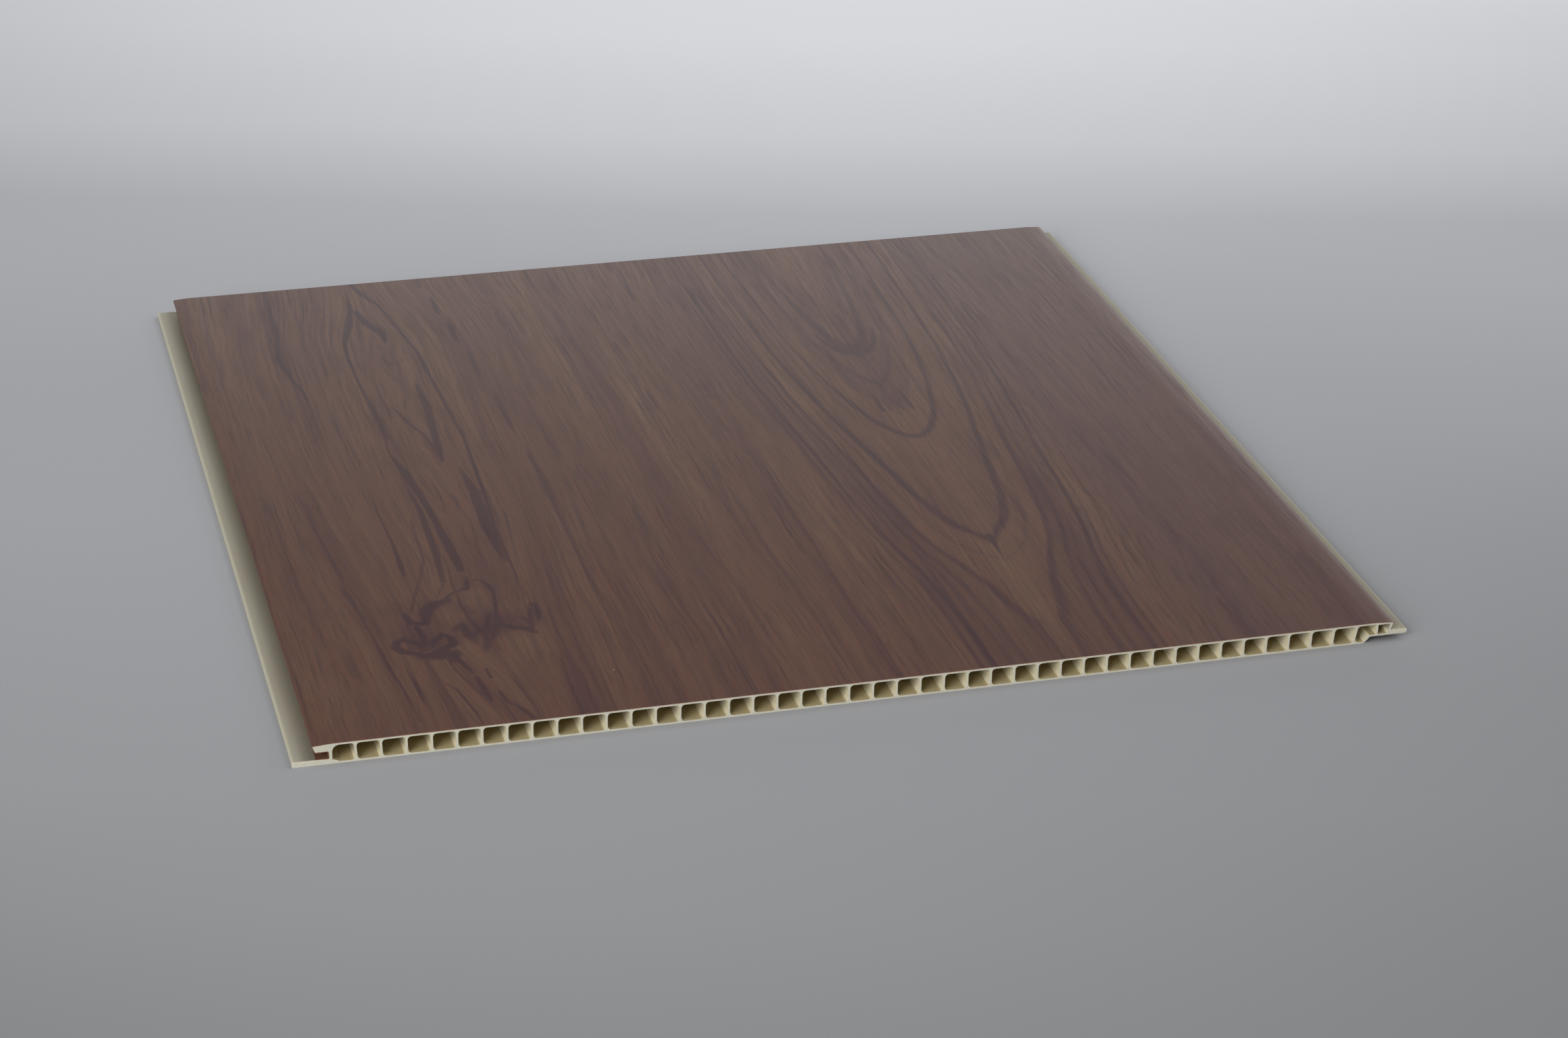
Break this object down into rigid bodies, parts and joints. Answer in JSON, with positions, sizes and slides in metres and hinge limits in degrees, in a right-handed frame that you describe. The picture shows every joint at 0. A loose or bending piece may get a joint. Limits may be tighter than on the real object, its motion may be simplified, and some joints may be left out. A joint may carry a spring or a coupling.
{
  "type": "pvc wall panel",
  "caption": "Short piece of hollow webbed PVC wall panel, lying face up, with a wood-look film on its face, a fixing flange and groove along one edge and a tongue along the other.",
  "frame": {"origin": "middle of the footprint, on the floor under the panel's back", "axes": "+Z out of the decorated face; +X across the width, from the flange and groove towards the tongue; +Y along the extrusion, away from the camera"},
  "size_m": [0.4122, 0.404, 0.008],
  "materials": {
    "cream_pvc": "matt cream foamless PVC with sawn ends",
    "printed_film": "satin brown wood-grain print, lightly embossed"
  },
  "bodies": {
    "root": {"extruded_profile": "cream_pvc", "woodgrain_film": "printed_film"}
  },
  "joints": []
}
